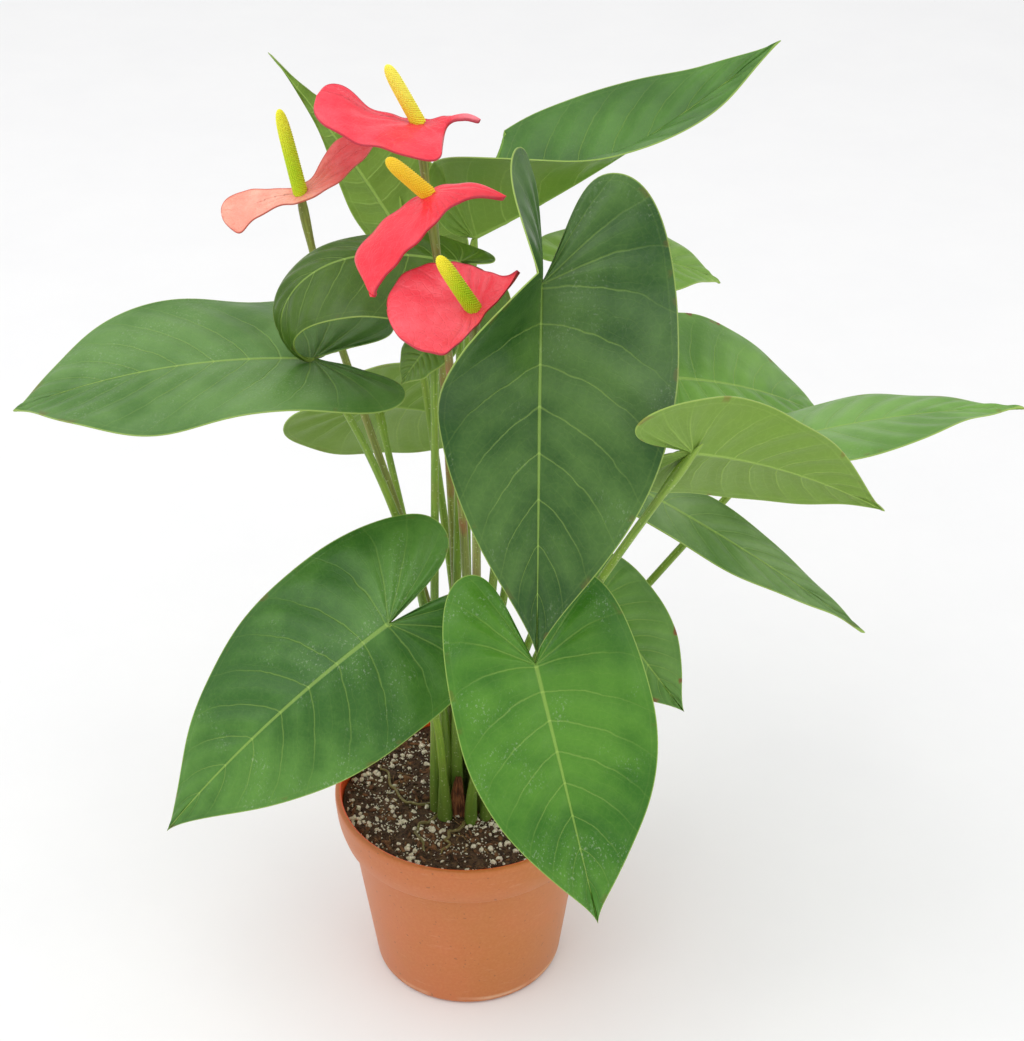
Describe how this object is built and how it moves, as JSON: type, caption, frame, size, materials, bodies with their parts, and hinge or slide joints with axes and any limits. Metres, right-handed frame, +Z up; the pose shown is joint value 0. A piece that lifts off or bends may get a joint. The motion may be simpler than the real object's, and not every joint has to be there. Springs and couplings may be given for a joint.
{
  "type": "potted anthurium",
  "caption": "Flowering anthurium houseplant: heart-shaped leaves and red spathes with yellow spadices on long stalks, in a round tapered plastic nursery pot filled with potting mix.",
  "frame": {"origin": "centre of the pot's flat underside, which is the face it rests on", "axes": "+Z up along the pot's axis, -Y towards the side that the large hanging leaf faces, +X to the right of a viewer who stands on that side"},
  "size_m": [0.4151, 0.242, 0.4274],
  "materials": {
    "pot": "satin",
    "soil": "matte",
    "crown_stem": "satin",
    "sheath": "matte",
    "root": "matte",
    "leaf": "satin",
    "stalk": "satin",
    "spathe": "gloss",
    "spadix": "matte",
    "flower_stalk": "satin"
  },
  "bodies": {
    "root": {"pot": "pot", "soil": "soil", "crown_stem_1": "crown_stem", "crown_stem_2": "crown_stem", "crown_stem_3": "crown_stem", "sheath_1": "sheath", "sheath_2": "sheath", "sheath_3": "sheath", "root_1": "root", "root_2": "root", "root_3": "root", "leaf_low_left": "leaf", "stalk_low_left": "stalk", "leaf_low_front": "leaf", "stalk_low_front": "stalk", "leaf_tall_front": "leaf", "stalk_tall_front": "stalk", "leaf_right_under": "leaf", "stalk_right_under": "stalk", "leaf_right_far": "leaf", "stalk_right_far": "stalk", "leaf_right_mid": "leaf", "stalk_right_mid": "stalk", "leaf_right_back": "leaf", "stalk_right_back": "stalk", "leaf_right_low": "leaf", "stalk_right_low": "stalk", "leaf_low_right": "leaf", "stalk_low_right": "stalk", "leaf_top_right": "leaf", "stalk_top_right": "stalk", "leaf_top_left": "leaf", "stalk_top_left": "stalk", "leaf_left_wide": "leaf", "stalk_left_wide": "stalk", "leaf_left_curled": "leaf", "stalk_left_curled": "stalk", "leaf_back_pale": "leaf", "stalk_back_pale": "stalk", "leaf_back_small": "leaf", "stalk_back_small": "stalk", "spathe_left": "spathe", "spadix_left": "spadix", "flower_stalk_left": "flower_stalk", "spathe_top": "spathe", "spadix_top": "spadix", "flower_stalk_top": "flower_stalk", "spathe_middle": "spathe", "spadix_middle": "spadix", "flower_stalk_middle": "flower_stalk", "spathe_front": "spathe", "spadix_front": "spadix", "flower_stalk_front": "flower_stalk"}
  },
  "joints": []
}
